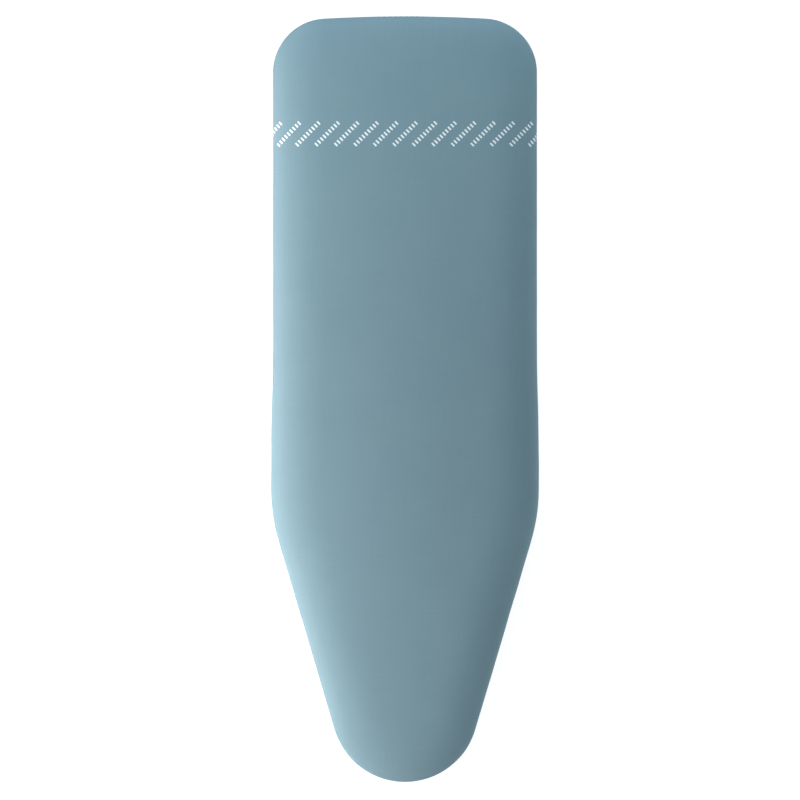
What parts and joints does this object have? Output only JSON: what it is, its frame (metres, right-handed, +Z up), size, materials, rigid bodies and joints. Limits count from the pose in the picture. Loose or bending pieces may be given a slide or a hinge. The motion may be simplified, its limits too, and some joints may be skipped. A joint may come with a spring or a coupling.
{
  "type": "ironing board cover",
  "caption": "Padded ironing board cover with a round nose, tapered front and square tail, drawn tight under the board by a corded hem with a spring cord lock.",
  "frame": {"origin": "on the surface that the hem casing rests on, under the middle of the cover's length and width", "axes": "+Z up through the padded top, +Y along the length towards the square tail, -Y towards the nose, X across"},
  "size_m": [0.437, 1.25, 0.036],
  "materials": {
    "cover_cotton": "matte",
    "felt": "matte",
    "foam": "matte",
    "binding_tape": "matte",
    "braided_cord": "matte",
    "lock_plastic": "satin",
    "button_plastic": "satin",
    "spring_steel": "satin"
  },
  "bodies": {
    "cover": {"cover_cloth": "cover_cotton", "felt_layer": "felt", "foam_layer": "foam", "hem_casing": "binding_tape", "drawcord": "braided_cord", "cord_end": "lock_plastic"},
    "lock": {"lock_body": "lock_plastic", "lock_spring": "spring_steel"},
    "plunger": {"lock_plunger": "button_plastic"}
  },
  "joints": [
    {"name": "lock_slide", "type": "slide", "parent": "cover", "child": "lock", "axis": [0, -1, 0], "range_m": [0, 0.03]},
    {"name": "plunger_press", "type": "slide", "parent": "lock", "child": "plunger", "axis": [-1, 0, 0], "range_m": [0, 0.0032], "stiffness_N_per_m": 800, "springref_m": -0.003, "deforming": ["lock_spring"]}
  ]
}
